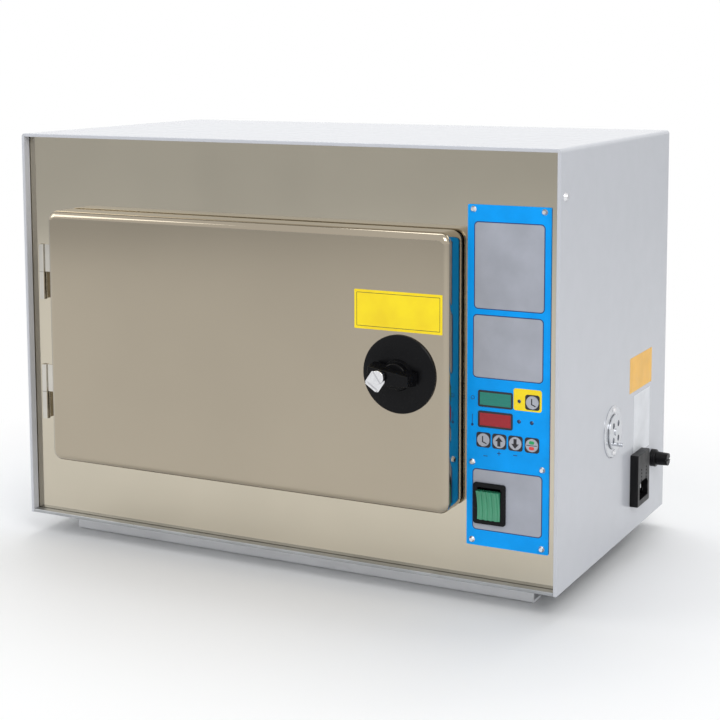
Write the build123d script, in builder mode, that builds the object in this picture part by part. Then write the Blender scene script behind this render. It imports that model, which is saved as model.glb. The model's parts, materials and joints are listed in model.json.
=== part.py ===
"""Bench-top hot air sterilizer: sheet-metal cabinet, insulated chamber, hinged door with a rotary latch."""
import os
from math import cos, radians, sin
from build123d import *

os.makedirs("parts", exist_ok=True)

# Cabinet, mm
cabinet_width = 520.0
cabinet_height = 354.0
cabinet_depth = 288.0
sheet = 1.5                # cover, base and rear sheet
cover_bend = 3.0           # outside bend radius of the cover
lip = 3.0                  # hemmed front edge of cover and base
lip_round = 0.7
panel_inset = 8.0          # front panel behind the lip
panel_groove = 0.8         # between the back of the lip and the front panel
panel_sheet = 1.2
panel_flange = 12.0
return_width = 11.0        # in-turned flange at the cover's rear edge
rear_overlap = 4.0         # rear panel stops this far inside the cover's outline
rear_sheet = 1.2
bulkhead_clear = 1.0       # around the bulkhead
louvre_grid = (3, 5)
louvre_slot = (70.0, 4.0)
louvre_pitch = 12.0

# Foot rails
rail_height = 20.0
rail_depth = 17.0
rail_wall = 2.0
rail_inset = 31.0

# Door
door_depth = 26.5
door_left_inset = 43.0     # from the cabinet's left side
door_rise = 60.0           # from the cabinet's underside
door_top_inset = 67.0      # from the cabinet's top
door_gap_right = 3.9       # from the control fascia
door_gap = 3.5             # door back to front panel, closed by the gasket
door_sheet = 1.2
door_corner = 9.0
door_edge = 6.0            # bend radius at the face
door_rim = 1.5             # bend radius at the back
door_return = 12.0
inner_pan_sheet = 1.0
inner_pan_inset = 4.5
plateau_rise = 7.0
plateau_inset = 9.5        # from the chamber's mouth
mouth_margin = (21.5, 18.5)  # door's edges beyond the chamber's mouth, beside and above
plateau_taper = 20.0
gasket_inset = 2.0
gasket_width = 11.0
seal_gap = 0.3

# Hinges
barrel_radius = 3.4
knuckle_length = 25.0
knuckle_gap = 0.3
pin_radius = 1.5
pin_clearance = 0.05
leaf_thickness = 2.0
leaf_flange = 12.0
hinge_inset = 23.3         # axis from the cabinet's left side
hinge_ahead = 3.0          # axis ahead of the cover's lip
hinge_margin = 58.0        # middle of each hinge from the door's upper and lower edge
slot_play = 0.4

# Door latch
latch_from_edge = 42.4     # axis from the door's free edge
latch_drop = 2.0           # axis below the middle of the door
escutcheon_radius = 32.0
escutcheon_rim = 2.0
escutcheon_dome = 4.2
boss_radius = 13.0
boss_height = 2.8
hub_radius = 10.5
hub_height = 4.0
grip_lift = 0.3            # grip above the escutcheon
grip_proud = 22.0          # grip's front face above the door
grip_left = 18.5
grip_right = 17.0
grip_tall = 15.0
grip_slim = 8.5
grip_flare = 5.0           # draft of the grip's faces, degrees
grip_tilt = 4.0            # the grip's left end sits this much higher, degrees
spindle_radius = 5.0
bush_radius = 7.5
bush_flange = 10.0
square_tenon = 7.0
tenon_length = 10.0
tongue_length = 19.0
tongue_width = 10.0
tongue_thick = 4.0
tongue_behind_mouth = 9.3  # tongue's front face behind the front panel's back
keeper_gap = 0.5
keeper_reach = 10.0
keeper_sheet = 1.5
keeper_arm = 18.0
nut_flats = 10.0
nut_height = 5.0
tab_sheet = 1.5
tab_length = 14.0
tab_width = 12.0
tab_lip = 3.0
tab_turn = -34.0
screw_head_radius = 5.5
screw_head_height = 4.0
tab_screw_offset = (-6.8, 1.6)
tab_offset = (-10.4, -2.6)

# Chamber
chamber_rear_room = 50.8   # between the chamber's rear wall and the cabinet's rear
chamber_sheet = 1.0
chamber_corner = 12.0
chamber_flange = 10.0
side_insulation = 22.0
top_insulation = 40.0
rear_insulation = 28.0

# Heater, floor plate, racks and trays
heater_radius = 3.25
heater_lift = 12.0
heater_turn = 16.0
heater_runs = 4
floor_lift = 26.0
floor_sheet = 1.0
floor_margin = 4.0
floor_ends = (20.0, 8.0)   # plate's edges from the chamber's front and rear
floor_slots = (5, 4)
floor_slot_size = (36.0, 8.0)
rack_sheet = 1.0
rack_ledge = 9.0
rack_levels = 3
rack_first = 12.0          # first ledge above the floor plate
rack_headroom = 60.0       # above the highest ledge
rack_front = 42.0          # behind the front panel's back
rack_back_gap = 8.0
tray_play = 1.5
tray_sheet = 1.0
tray_depth = 12.0
tray_rim = 8.0
tray_lift = 0.3
tray_behind = 46.0         # tray's front edge behind the front panel's back
tray_rear_gap = 12.0
tray_slots = (6, 3)
tray_slot_size = (32.0, 7.0)
probe_radius = 2.5
probe_drop = 22.0          # below the chamber's ceiling
probe_reach = 45.0         # into the chamber
probe_tail = 14.0          # beyond the bulkhead
probe_head = 8.0
tray_levels = (0, 2)

# Control fascia and what it carries
fascia_right_inset = 9.7   # from the cabinet's right side
fascia_rise = 30.4
fascia_top_inset = 46.2
fascia_width = 70.4
fascia_sheet = 1.2
fascia_corner = 1.0
fascia_screw_columns = (4.6, 64.6)
fascia_screw_margin = (4.2, 3.8)  # lowest and highest screws from the fascia's edges
fascia_screw_mid = 68.5
display_size = (27.2, 10.8)
display_column = 24.6
display_rows = (104.8, 121.6)
display_proud = 0.3
key_radius = 5.3
key_play = 0.2
key_proud = 1.0
key_collar = 1.0
key_stem = 2.4
key_travel = 0.6
key_row = 87.8
key_columns = (14.5, 28.2, 42.0, 56.0)
select_key = (56.1, 122.3)
led_radius = 1.6
led_spots = ((44.9, 122.3), (44.8, 105.8), (55.6, 105.8))
board_behind = 10.0        # board's front face behind the front panel's back
board_thick = 1.6
board_margin = 3.0
switch_height = 4.0        # push switches on the board
switch_width = 6.0
stud_radius = 2.5

# Rocker switch
rocker_centre = (20.2, 35.6)
bezel_size = (28.0, 34.0)
bezel_proud = 2.2
bezel_well = (20.1, 27.0)
bezel_body = (22.6, 29.5)
bezel_depth = 20.0
rocker_width = 19.5
rocker_half = 12.2
rocker_throw = 8.0
rocker_proud = 3.0         # rocker's crest ahead of the bezel
rocker_dish = 1.8
rocker_ribs = 4
rib_height = 0.6
trunnion_radius = 1.2
trunnion_behind = 1.5
trunnion_clearance = 0.05

# Right side: power inlet, fuse holder and vent, from the cabinet's rear and the underside
inlet_place = (85.0, 23.7)
inlet_size = (34.0, 47.0)
inlet_proud = 7.5
inlet_body = (28.0, 41.0)
inlet_depth = 24.0
socket_size = (24.0, 16.4)
socket_low = 5.7
socket_depth = 16.0
inlet_marks_rise = 51.5    # middle of the small holes above the socket
inlet_marks_pitch = (13.5, 3.1)
inlet_mark_radius = 1.0
inlet_mark_depth = 2.0
pin_spread = 7.0
pin_rise = 4.0
pin_thick = 2.0
pin_tall = 4.0
pin_set_back = 3.0         # pin tips behind the inlet's face
fuse_place = (38.0, 54.0)
fuse_flange_radius = 8.0
fuse_flange_height = 5.0
fuse_body_radius = 6.2
fuse_body_length = 26.0
fuse_cap_radius = 6.2
fuse_cap_length = 11.0
vent_place = (154.0, 104.0)
vent_flange_radius = 22.5
vent_flange_sheet = 1.5
vent_disc_radius = 15.2
vent_disc_sheet = 1.6
vent_ring = 9.0
vent_hole_radius = 2.6
vent_hole_count = 4
vent_tube_radius = 12.0
vent_tube_wall = 1.0
vent_pin_radius = 1.6
vent_pin_length = 6.5
vent_pivot_radius = 2.5
vent_screw_ring = 18.5

# Electrical parts in the bay: width, depth and height
transformer_size = (48.0, 40.0, 42.0)
transformer_step = 8.0     # the winding's ends stand this far out of the core
transformer_clear = 50.0   # behind the front panel
relay_size = (22.0, 44.0, 58.0)
relay_pins = 4
relay_pin = (4.0, 6.0, 8.0)
relay_pin_pitch = 10.0
relay_clear = 5.0          # ahead of the probe's head
relay_drop = 55.0
terminal_size = (14.0, 62.0, 16.0)
terminal_wells = 6
terminal_well = (3.0, 4.0)
terminal_behind_vent = 45.0
stat_plate = (3.0, 36.0)
stat_radius = 14.0
stat_height = 10.0
stat_button = (3.0, 4.0)
stat_blade = (7.0, 6.0, 0.8)
stat_from_vent = (20.0, 30.0)
blade_spread = 9.0
board_plug = (18.0, 9.0, 8.0)
board_chip = (22.0, 3.0, 18.0)

# Fasteners
case_head_radius = 3.6
case_head_height = 2.2
case_shank_radius = 1.9
case_shank_length = 6.0
fascia_head_radius = 2.7
fascia_head_height = 1.5
fascia_shank_radius = 1.5
fascia_shank_length = 4.5
side_screw = (10.7, 37.6)  # behind the lip and below the top

# Planes and edges that several pieces share
side_proud = fuse_flange_height + fuse_cap_length
front_proud = grip_proud + tab_sheet + screw_head_height + door_depth + door_gap - panel_inset
rear_proud = rear_sheet + case_head_height
cab_left = -(cabinet_width + side_proud - case_head_height) / 2
cab_right = cab_left + cabinet_width
cab_front = (front_proud - rear_proud - cabinet_depth) / 2
cab_back = cab_front + cabinet_depth
cab_floor = rail_height
cab_top = cab_floor + cabinet_height
fascia_right = cab_right - fascia_right_inset
fascia_left = fascia_right - fascia_width
fascia_low = cab_floor + fascia_rise
fascia_high = cab_top - fascia_top_inset
panel_front = cab_front + panel_inset
panel_back = panel_front + panel_sheet
door_left = cab_left + door_left_inset
door_right = fascia_left - door_gap_right
door_low = cab_floor + door_rise
door_high = cab_top - door_top_inset
door_back = panel_front - door_gap
door_front = door_back - door_depth
hinge_x = cab_left + hinge_inset
hinge_y = cab_front - hinge_ahead
latch_x = door_right - latch_from_edge
latch_z = (door_low + door_high) / 2 - latch_drop
mouth_left = door_left + mouth_margin[0]
mouth_right = door_right - mouth_margin[0]
mouth_low = door_low + mouth_margin[1]
mouth_high = door_high - mouth_margin[1]
chamber_back = cab_back - chamber_rear_room
chamber_depth = chamber_back - panel_back
chamber_width = mouth_right - mouth_left
fascia_front = panel_front - fascia_sheet
board_front = panel_back + board_behind
bulkhead_left = mouth_right + chamber_sheet + side_insulation
floor_top = mouth_low + floor_lift
rack_pitch = (mouth_high - rack_headroom - floor_top - rack_first) / (rack_levels - 1)
vent_y = cab_back - vent_place[0]
vent_z = cab_floor + vent_place[1]
fuse_y = cab_back - fuse_place[0]
fuse_z = cab_floor + fuse_place[1]
inlet_y = cab_back - inlet_place[0]
inlet_z = cab_floor + inlet_place[1] + inlet_size[1] / 2
hinge_splits = [door_low + hinge_margin, door_high - hinge_margin]
side_screw_y = cab_front + side_screw[0]
side_screw_z = cab_top - side_screw[1]

LOW = (Align.CENTER, Align.CENTER, Align.MIN)
HIGH = (Align.CENTER, Align.CENTER, Align.MAX)
TO_FRONT = (90, 0, 0)
TO_BACK = (-90, 0, 0)
TO_RIGHT = (0, 90, 0)
TO_LEFT = (0, -90, 0)


def front_plane(y):
    """Plane facing the user: local x is X, local y is Z, and it extrudes towards the user."""
    return Plane(origin=(0, y, 0), x_dir=(1, 0, 0), z_dir=(0, -1, 0))


def side_plane(x):
    """Plane facing right: local x is Y, local y is Z."""
    return Plane(origin=(x, 0, 0), x_dir=(0, 1, 0), z_dir=(1, 0, 0))


def bounds(u0, u1, v0, v1, radius=0.0, mode=Mode.ADD):
    """Rectangle in the open sketch, given by its limits."""
    with Locations(((u0 + u1) / 2, (v0 + v1) / 2)):
        if radius > 0:
            RectangleRounded(u1 - u0, v1 - v0, radius, mode=mode)
        else:
            Rectangle(u1 - u0, v1 - v0, mode=mode)


def block(x0, x1, y0, y1, z0, z1, mode=Mode.ADD):
    """Box in the open part, given by its limits."""
    with Locations(((x0 + x1) / 2, (y0 + y1) / 2, (z0 + z1) / 2)):
        Box(x1 - x0, y1 - y0, z1 - z0, mode=mode)


def rod(place, facing, radius, length, mode=Mode.ADD):
    """Cylinder from a place, running the way it faces."""
    with Locations(Location(place, facing)):
        Cylinder(radius, length, align=LOW, mode=mode)


def write(piece, node):
    """Label a finished piece and write it to its STEP file."""
    piece.part.label = node
    export_step(piece.part, f"parts/{node}.step")


# Cabinet shell
def cover_arch(wall):
    """Arch of the cover: sides and top with bent corners, open at the underside."""
    below = cab_floor - 2 * cover_bend
    bounds(cab_left, cab_right, below, cab_top, cover_bend)
    inside = max(cover_bend - wall, 0.0)
    bounds(cab_left + wall, cab_right - wall, below - cover_bend, cab_top - wall, inside, Mode.SUBTRACT)
    bounds(cab_left - 1, cab_right + 1, below - 1, cab_floor, mode=Mode.SUBTRACT)


rear_screw_columns = [cab_left + return_width / 2 + sheet, 0, cab_right - return_width / 2 - sheet]
rear_screw_columns[1] = (rear_screw_columns[0] + rear_screw_columns[2]) / 2
rear_screw_rows = [cab_floor + return_width / 2 + sheet, cab_top - return_width / 2 - sheet]
rear_screw_mid = (rear_screw_rows[0] + rear_screw_rows[1]) / 2
rear_screws = [(x, z) for x in rear_screw_columns for z in rear_screw_rows]
rear_screws += [(x, rear_screw_mid) for x in (rear_screw_columns[0], rear_screw_columns[2])]

with BuildPart() as outer_cover:
    with BuildSketch(front_plane(cab_back)):
        cover_arch(sheet)
    extrude(amount=cabinet_depth)
    with BuildSketch(front_plane(panel_front - panel_groove)):
        cover_arch(lip)
    extrude(amount=panel_inset - panel_groove)
    with BuildSketch(front_plane(cab_back)):
        cover_arch(sheet + return_width)
    extrude(amount=sheet)
    lip_edges = outer_cover.faces().sort_by(Axis.Y)[0].edges()
    fillet([edge for edge in lip_edges if edge.center().Z > cab_floor + lip_round], lip_round)
    with BuildSketch(side_plane(cab_right)):
        with Locations((inlet_y, inlet_z)):
            Rectangle(*inlet_body)
        with Locations((fuse_y, fuse_z)):
            Circle(fuse_body_radius)
        with Locations((vent_y, vent_z)):
            Circle(vent_tube_radius)
            with Locations((0, vent_screw_ring), (0, -vent_screw_ring)):
                Circle(fascia_shank_radius)
    extrude(amount=-2 * sheet, mode=Mode.SUBTRACT)
    rod((cab_left - 1, side_screw_y, side_screw_z), TO_RIGHT, case_shank_radius, cabinet_width + 2,
        Mode.SUBTRACT)
    for x, z in rear_screws:
        rod((x, cab_back + 1, z), TO_FRONT, case_shank_radius, sheet + 2, Mode.SUBTRACT)
write(outer_cover, "outer_cover")

rail_left = cab_left + rail_inset
rail_right = cab_right - rail_inset
rail_fronts = {"front": cab_front + rail_inset, "rear": cab_back - rail_inset - rail_depth}
rail_screw_columns = [rail_left + rail_inset, rail_right - rail_inset]

with BuildPart() as base_tray:
    block(cab_left + sheet, cab_right - sheet, panel_front, cab_back, cab_floor, cab_floor + sheet)
    lip_back = panel_front - panel_groove
    block(cab_left + lip, cab_right - lip, cab_front, lip_back, cab_floor, cab_floor + lip)
    block(cab_left + sheet, cab_right - sheet, lip_back, panel_front, cab_floor, cab_floor + sheet)
    flange_start = panel_back + 2 * panel_flange
    for inner in (cab_left + sheet, cab_right - 2 * sheet):
        block(inner, inner + sheet, flange_start, cab_back - 2 * sheet, cab_floor, cab_floor + return_width)
    rear_low, rear_high = cab_left + sheet + return_width, cab_right - sheet - return_width
    block(rear_low, rear_high, cab_back - sheet, cab_back, cab_floor, cab_floor + return_width + sheet)
    for x0, x1 in ((cab_left + sheet, rear_low), (rear_high, cab_right - sheet)):
        block(x0, x1, cab_back - sheet, cab_back, cab_floor, cab_floor + sheet, Mode.SUBTRACT)
    lip_edges = base_tray.faces().sort_by(Axis.Y)[0].edges().filter_by(Axis.X)
    fillet(lip_edges, lip_round)
    for y in rail_fronts.values():
        for x in rail_screw_columns:
            place = (x, y + rail_depth / 2, cab_floor - 1)
            rod(place, (0, 0, 0), case_shank_radius, sheet + 2, Mode.SUBTRACT)
    place = (rear_screw_columns[1], cab_back + 1, rear_screw_rows[0])
    rod(place, TO_FRONT, case_shank_radius, sheet + 2, Mode.SUBTRACT)
write(base_tray, "base_tray")


def foot_rail(y, web_at_front):
    """Channel rail under the base: the web shows outside and the flanges turn inwards."""
    with BuildPart() as rail:
        with BuildSketch(side_plane(rail_left)):
            bounds(y, y + rail_depth, 0, rail_height, rail_wall)
            shift = rail_wall if web_at_front else -rail_wall
            bounds(y + shift, y + shift + rail_depth, rail_wall, rail_height - rail_wall, mode=Mode.SUBTRACT)
        extrude(amount=rail_right - rail_left)
        for x in rail_screw_columns:
            place = (x, y + rail_depth / 2, rail_height + 1)
            rod(place, (180, 0, 0), case_shank_radius, rail_wall + 2, Mode.SUBTRACT)
    return rail


for side, y in rail_fronts.items():
    write(foot_rail(y, side == "front"), f"foot_rail_{side}")

fascia_screw_rows = (fascia_low + fascia_screw_margin[0], fascia_low + fascia_screw_mid,
                     fascia_high - fascia_screw_margin[1])
fascia_screw_spots = [(fascia_left + u, z) for u in fascia_screw_columns for z in fascia_screw_rows]
control_low = fascia_low + key_row - key_radius - 3
control_high = fascia_low + select_key[1] + key_radius + 4
control_left = fascia_left + display_column - display_size[0] / 2 - 3
control_right = fascia_left + select_key[0] + key_radius + 2.5
board_left, board_right = control_left - 2 * board_margin, control_right + 2 * board_margin
board_low, board_high = control_low - board_margin, control_high + board_margin
stud_spots = [(x, z) for x in (board_left + stud_radius, board_right - stud_radius)
              for z in (board_low + stud_radius, board_high - stud_radius)]
rocker_x = fascia_left + rocker_centre[0]
rocker_z = fascia_low + rocker_centre[1]

with BuildPart() as front_panel:
    with BuildSketch(front_plane(panel_front + panel_flange)):
        bounds(cab_left + sheet, cab_right - sheet, cab_floor + sheet, cab_top - sheet, cover_bend - sheet)
    extrude(amount=panel_flange)
    with BuildSketch(front_plane(panel_front + panel_flange)):
        wall = sheet + panel_sheet
        bounds(cab_left + wall, cab_right - wall, cab_floor + wall, cab_top - wall)
    extrude(amount=panel_flange - panel_sheet, mode=Mode.SUBTRACT)
    with BuildSketch(front_plane(panel_back)):
        bounds(mouth_left, mouth_right, mouth_low, mouth_high, chamber_corner)
        bounds(control_left, control_right, control_low, control_high, 2)
        with Locations((rocker_x, rocker_z)):
            Rectangle(*bezel_body)
        for split in hinge_splits:
            reach = leaf_thickness / 2 + slot_play
            bounds(hinge_x - reach, hinge_x + reach, split - knuckle_length - 1, split + 1)
        with Locations(*fascia_screw_spots):
            Circle(fascia_shank_radius)
    extrude(amount=panel_sheet, mode=Mode.SUBTRACT)
    for x, z in stud_spots:
        rod((x, board_front, z), TO_FRONT, stud_radius, board_front - panel_back)
    rod((cab_left - 1, side_screw_y, side_screw_z), TO_RIGHT, case_shank_radius, cabinet_width + 2,
        Mode.SUBTRACT)
write(front_panel, "front_panel")

with BuildPart() as rear_panel:
    with BuildSketch(front_plane(cab_back + rear_sheet)):
        bounds(cab_left + rear_overlap, cab_right - rear_overlap, cab_floor + rear_overlap,
               cab_top - rear_overlap, cover_bend)
        with Locations(((cab_left + cab_right) / 2, cab_top - cabinet_height / 4)):
            with GridLocations(cabinet_width / 4, louvre_pitch, *louvre_grid):
                SlotOverall(*louvre_slot, mode=Mode.SUBTRACT)
        with Locations(*rear_screws):
            Circle(case_shank_radius, mode=Mode.SUBTRACT)
    extrude(amount=rear_sheet)
write(rear_panel, "rear_panel")

probe_y = (panel_back + chamber_back) / 2
probe_z = mouth_high - probe_drop
bulkhead_front = panel_front + panel_flange + bulkhead_clear
bulkhead_back = cab_back - sheet - bulkhead_clear
with BuildPart() as bulkhead:
    block(bulkhead_left, bulkhead_left + panel_sheet, bulkhead_front, bulkhead_back,
          cab_floor + sheet, cab_top - sheet - bulkhead_clear / 2)
    block(bulkhead_left, bulkhead_left + panel_flange, bulkhead_front, bulkhead_back,
          cab_floor + sheet, cab_floor + sheet + panel_sheet)
    with BuildSketch(side_plane(bulkhead_left)):
        with Locations((vent_y, vent_z)):
            Circle(vent_tube_radius)
        with Locations((probe_y, probe_z)):
            Circle(probe_radius)
    extrude(amount=panel_sheet, mode=Mode.SUBTRACT)
write(bulkhead, "bulkhead")

# Chamber and its insulation
heater_z = mouth_low + heater_lift
heater_half = chamber_width * 0.38
heater_columns = [(mouth_left + mouth_right) / 2 + heater_half * (2 * i / (heater_runs - 1) - 1)
                  for i in range(heater_runs)]
heater_front = panel_back + 34
heater_rear = chamber_back - 30
heater_end = chamber_back + chamber_sheet + rear_insulation + 8

chamber_round = chamber_corner / 2
with BuildPart() as chamber_space:
    with BuildSketch(front_plane(chamber_back)):
        bounds(mouth_left, mouth_right, mouth_low, mouth_high, chamber_corner)
    extrude(amount=chamber_depth)
    fillet(chamber_space.faces().sort_by(Axis.Y)[-1].edges(), chamber_round)

with BuildPart() as chamber:
    with BuildSketch(front_plane(chamber_back + chamber_sheet)):
        bounds(mouth_left - chamber_sheet, mouth_right + chamber_sheet, mouth_low - chamber_sheet,
               mouth_high + chamber_sheet, chamber_corner + chamber_sheet)
    extrude(amount=chamber_depth + chamber_sheet)
    fillet(chamber.faces().sort_by(Axis.Y)[-1].edges(), chamber_round + chamber_sheet)
    with BuildSketch(front_plane(panel_back + chamber_sheet)):
        bounds(mouth_left - chamber_flange, mouth_right + chamber_flange, mouth_low - chamber_flange,
               mouth_high + chamber_flange, chamber_corner + chamber_flange)
    extrude(amount=chamber_sheet)
    add(chamber_space.part, mode=Mode.SUBTRACT)
    rod((mouth_right - 1, vent_y, vent_z), TO_RIGHT, vent_tube_radius, chamber_sheet + 2, Mode.SUBTRACT)
    rod((mouth_right - 1, probe_y, probe_z), TO_RIGHT, probe_radius, chamber_sheet + 2, Mode.SUBTRACT)
    for x in (heater_columns[0], heater_columns[-1]):
        rod((x, chamber_back - 1, heater_z), TO_BACK, heater_radius, chamber_sheet + 2, Mode.SUBTRACT)
write(chamber, "chamber")

with BuildPart() as chamber_insulation:
    jacket_front = panel_back + chamber_sheet
    jacket_back = chamber_back + chamber_sheet + rear_insulation
    with BuildSketch(front_plane(jacket_back)):
        bounds(mouth_left - chamber_sheet - side_insulation, bulkhead_left,
               mouth_low - chamber_sheet - top_insulation, mouth_high + chamber_sheet + top_insulation, 6)
    extrude(amount=jacket_back - jacket_front)
    with BuildSketch(front_plane(chamber_back + chamber_sheet)):
        bounds(mouth_left - chamber_sheet, mouth_right + chamber_sheet, mouth_low - chamber_sheet,
               mouth_high + chamber_sheet, chamber_corner + chamber_sheet)
    extrude(amount=chamber_depth, mode=Mode.SUBTRACT)
    rod((mouth_right, vent_y, vent_z), TO_RIGHT, vent_tube_radius, side_insulation + 5, Mode.SUBTRACT)
    rod((mouth_right, probe_y, probe_z), TO_RIGHT, probe_radius, side_insulation + 5, Mode.SUBTRACT)
    for x in (heater_columns[0], heater_columns[-1]):
        rod((x, chamber_back, heater_z), TO_BACK, heater_radius, rear_insulation + 5, Mode.SUBTRACT)
write(chamber_insulation, "chamber_insulation")

with BuildPart() as heating_element:
    route = [(heater_columns[0], heater_end)]
    for i, x in enumerate(heater_columns):
        near, far = (heater_rear, heater_front) if i % 2 == 0 else (heater_front, heater_rear)
        if i > 0:
            route.append((x, near))
        if i < heater_runs - 1:
            route.append((x, far))
    route.append((heater_columns[-1], heater_end))
    with BuildLine(Plane.XY.offset(heater_z)) as heater_path:
        FilletPolyline(*route, radius=heater_turn)
    with BuildSketch(Plane(origin=heater_path.line @ 0, z_dir=heater_path.line % 0)):
        Circle(heater_radius)
    sweep(path=heater_path.line)
write(heating_element, "heating_element")

with BuildPart() as floor_plate:
    plate_left, plate_right = mouth_left + floor_margin, mouth_right - floor_margin
    plate_front, plate_back = panel_back + floor_ends[0], chamber_back - floor_ends[1]
    with BuildSketch(front_plane(plate_back)):
        bounds(plate_left, plate_right, mouth_low, floor_top)
        bounds(plate_left + floor_sheet, plate_right - floor_sheet, mouth_low, floor_top - floor_sheet,
               mode=Mode.SUBTRACT)
    extrude(amount=plate_back - plate_front)
    for u, v in ((plate_left, 0), (plate_right, 0)):
        block(u - chamber_corner, u + chamber_corner, plate_front, plate_back, mouth_low,
              mouth_low + chamber_corner, Mode.SUBTRACT)
    with BuildSketch(Plane.XY.offset(floor_top)):
        with Locations(((plate_left + plate_right) / 2, (plate_front + plate_back) / 2)):
            pitch_x = chamber_width / (floor_slots[0] + 1)
            pitch_y = chamber_depth / (floor_slots[1] + 1)
            with GridLocations(pitch_x, pitch_y, *floor_slots):
                SlotOverall(*floor_slot_size)
    extrude(amount=-2 * floor_sheet, mode=Mode.SUBTRACT)
    for x in (plate_left + chamber_corner, plate_right - chamber_corner - floor_sheet):
        block(x, x + floor_sheet, plate_front, plate_back, mouth_low, floor_top - floor_sheet)
write(floor_plate, "floor_plate")


rack_y0 = panel_back + rack_front
rack_y1 = chamber_back - rack_back_gap
ledge_heights = [floor_top + rack_first + level * rack_pitch for level in range(rack_levels)]
rack_top = ledge_heights[-1] + rack_pitch / 2


def tray_rack(wall_x, inward):
    """Bent side frame against a chamber wall, with a ledge for each tray level."""
    with BuildPart() as rack:
        with BuildSketch(front_plane(rack_y1)):
            edges = sorted((wall_x, wall_x + inward * rack_sheet))
            bounds(*edges, floor_top, rack_top)
            for height in ledge_heights:
                edges = sorted((wall_x, wall_x + inward * rack_ledge))
                bounds(*edges, height - rack_sheet, height)
        extrude(amount=rack_y1 - rack_y0)
        with BuildSketch(side_plane(wall_x - inward)):
            for height in ledge_heights:
                with Locations(((rack_y0 + rack_y1) / 2, height + rack_pitch / 2 - rack_sheet)):
                    SlotOverall((rack_y1 - rack_y0) * 0.7, rack_pitch * 0.4)
        extrude(amount=inward * 3, mode=Mode.SUBTRACT)
    return rack


rack_left = tray_rack(mouth_left, 1)
rack_right = tray_rack(mouth_right, -1)
write(rack_left, "rack_left")
write(rack_right, "rack_right")

tray_y0 = panel_back + tray_behind
tray_y1 = chamber_back - tray_rear_gap
tray_length = tray_y1 - tray_y0


def tray(level):
    """Perforated tray with a flat rim that rests on the ledges."""
    x0 = mouth_left + rack_sheet + tray_play
    x1 = mouth_right - rack_sheet - tray_play
    rim_low = ledge_heights[level] + tray_lift
    with BuildPart() as pan:
        with BuildSketch(Plane.XY.offset(rim_low)):
            bounds(x0, x1, tray_y0, tray_y1, tray_rim)
        extrude(amount=tray_sheet)
        with BuildSketch(Plane.XY.offset(rim_low)):
            bounds(x0 + rack_ledge + 1, x1 - rack_ledge - 1, tray_y0 + tray_rim, tray_y1 - tray_rim, tray_rim)
        extrude(amount=-tray_depth)
        inner = rack_ledge + 1 + tray_sheet
        with BuildSketch(Plane.XY.offset(rim_low + tray_sheet)):
            bounds(x0 + inner, x1 - inner, tray_y0 + tray_rim + tray_sheet, tray_y1 - tray_rim - tray_sheet,
                   tray_rim - tray_sheet)
        extrude(amount=-tray_depth, mode=Mode.SUBTRACT)
        with BuildSketch(Plane.XY.offset(rim_low - tray_depth + tray_sheet)):
            pitch_x = (x1 - x0) / (tray_slots[0] + 1)
            pitch_y = tray_length / (tray_slots[1] + 1)
            with Locations(((x0 + x1) / 2, (tray_y0 + tray_y1) / 2)):
                with GridLocations(pitch_x, pitch_y, *tray_slots):
                    SlotOverall(*tray_slot_size)
        extrude(amount=-2 * tray_sheet, mode=Mode.SUBTRACT)
    return pan


tray_lower = tray(tray_levels[0])
tray_upper = tray(tray_levels[1])
write(tray_lower, "tray_lower")
write(tray_upper, "tray_upper")

with BuildPart() as temperature_probe:
    tip = mouth_right - probe_reach
    rod((tip, probe_y, probe_z), TO_RIGHT, probe_radius, bulkhead_left + probe_tail - tip)
    rod((bulkhead_left + panel_sheet, probe_y, probe_z), TO_RIGHT, 2 * probe_radius, probe_head)
write(temperature_probe, "temperature_probe")

with BuildPart() as latch_keeper:
    keeper_back = panel_back + tongue_behind_mouth - keeper_gap
    reach = tongue_width
    block(mouth_right - keeper_sheet, mouth_right, keeper_back - keeper_sheet, keeper_back + keeper_arm,
          latch_z - reach, latch_z + reach)
    block(mouth_right - keeper_reach, mouth_right, keeper_back - keeper_sheet, keeper_back,
          latch_z - reach, latch_z + reach)
    fillet(latch_keeper.edges().filter_by(Axis.Y).group_by(Axis.X)[0], 2)
write(latch_keeper, "latch_keeper")


# Hinges: the frame half carries the pin, the door half lifts off it
def knuckle(split, upper):
    """One knuckle of a hinge, above or below the split line."""
    low = split + knuckle_gap / 2 if upper else split - knuckle_gap / 2 - knuckle_length
    rod((hinge_x, hinge_y, low), (0, 0, 0), barrel_radius, knuckle_length)
    return low


with BuildPart() as frame_hinges:
    for split in hinge_splits:
        low = knuckle(split, False)
        half = leaf_thickness / 2
        block(hinge_x - half, hinge_x + half, hinge_y, panel_back + leaf_thickness, low, low + knuckle_length)
        block(hinge_x - half, hinge_x + leaf_flange, panel_back, panel_back + leaf_thickness,
              low, low + knuckle_length)
        rod((hinge_x, hinge_y, low), (0, 0, 0), pin_radius, knuckle_length + 1, Mode.SUBTRACT)
write(frame_hinges, "frame_hinges")

with BuildPart() as hinge_pins:
    for split in hinge_splits:
        low = split - knuckle_gap / 2 - knuckle_length
        rod((hinge_x, hinge_y, low), (0, 0, 0), pin_radius, 2 * knuckle_length - 2)
write(hinge_pins, "hinge_pins")

with BuildPart() as door_hinges:
    for split in hinge_splits:
        low = knuckle(split, True)
        half = leaf_thickness / 2
        block(hinge_x, door_left, hinge_y - half, hinge_y + half, low, low + knuckle_length)
        high = low + knuckle_length
        block(door_left - panel_sheet, door_left, hinge_y - leaf_flange, hinge_y + half, low, high)
        rod((hinge_x, hinge_y, low - 1), (0, 0, 0), pin_radius + pin_clearance, knuckle_length + 2,
            Mode.SUBTRACT)
write(door_hinges, "door_hinges")


# Door
def door_outline(inset, mode=Mode.ADD):
    """Door outline, drawn in from its edge."""
    corner = max(door_corner - inset, 2.0)
    bounds(door_left + inset, door_right - inset, door_low + inset, door_high - inset, corner, mode)


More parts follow.
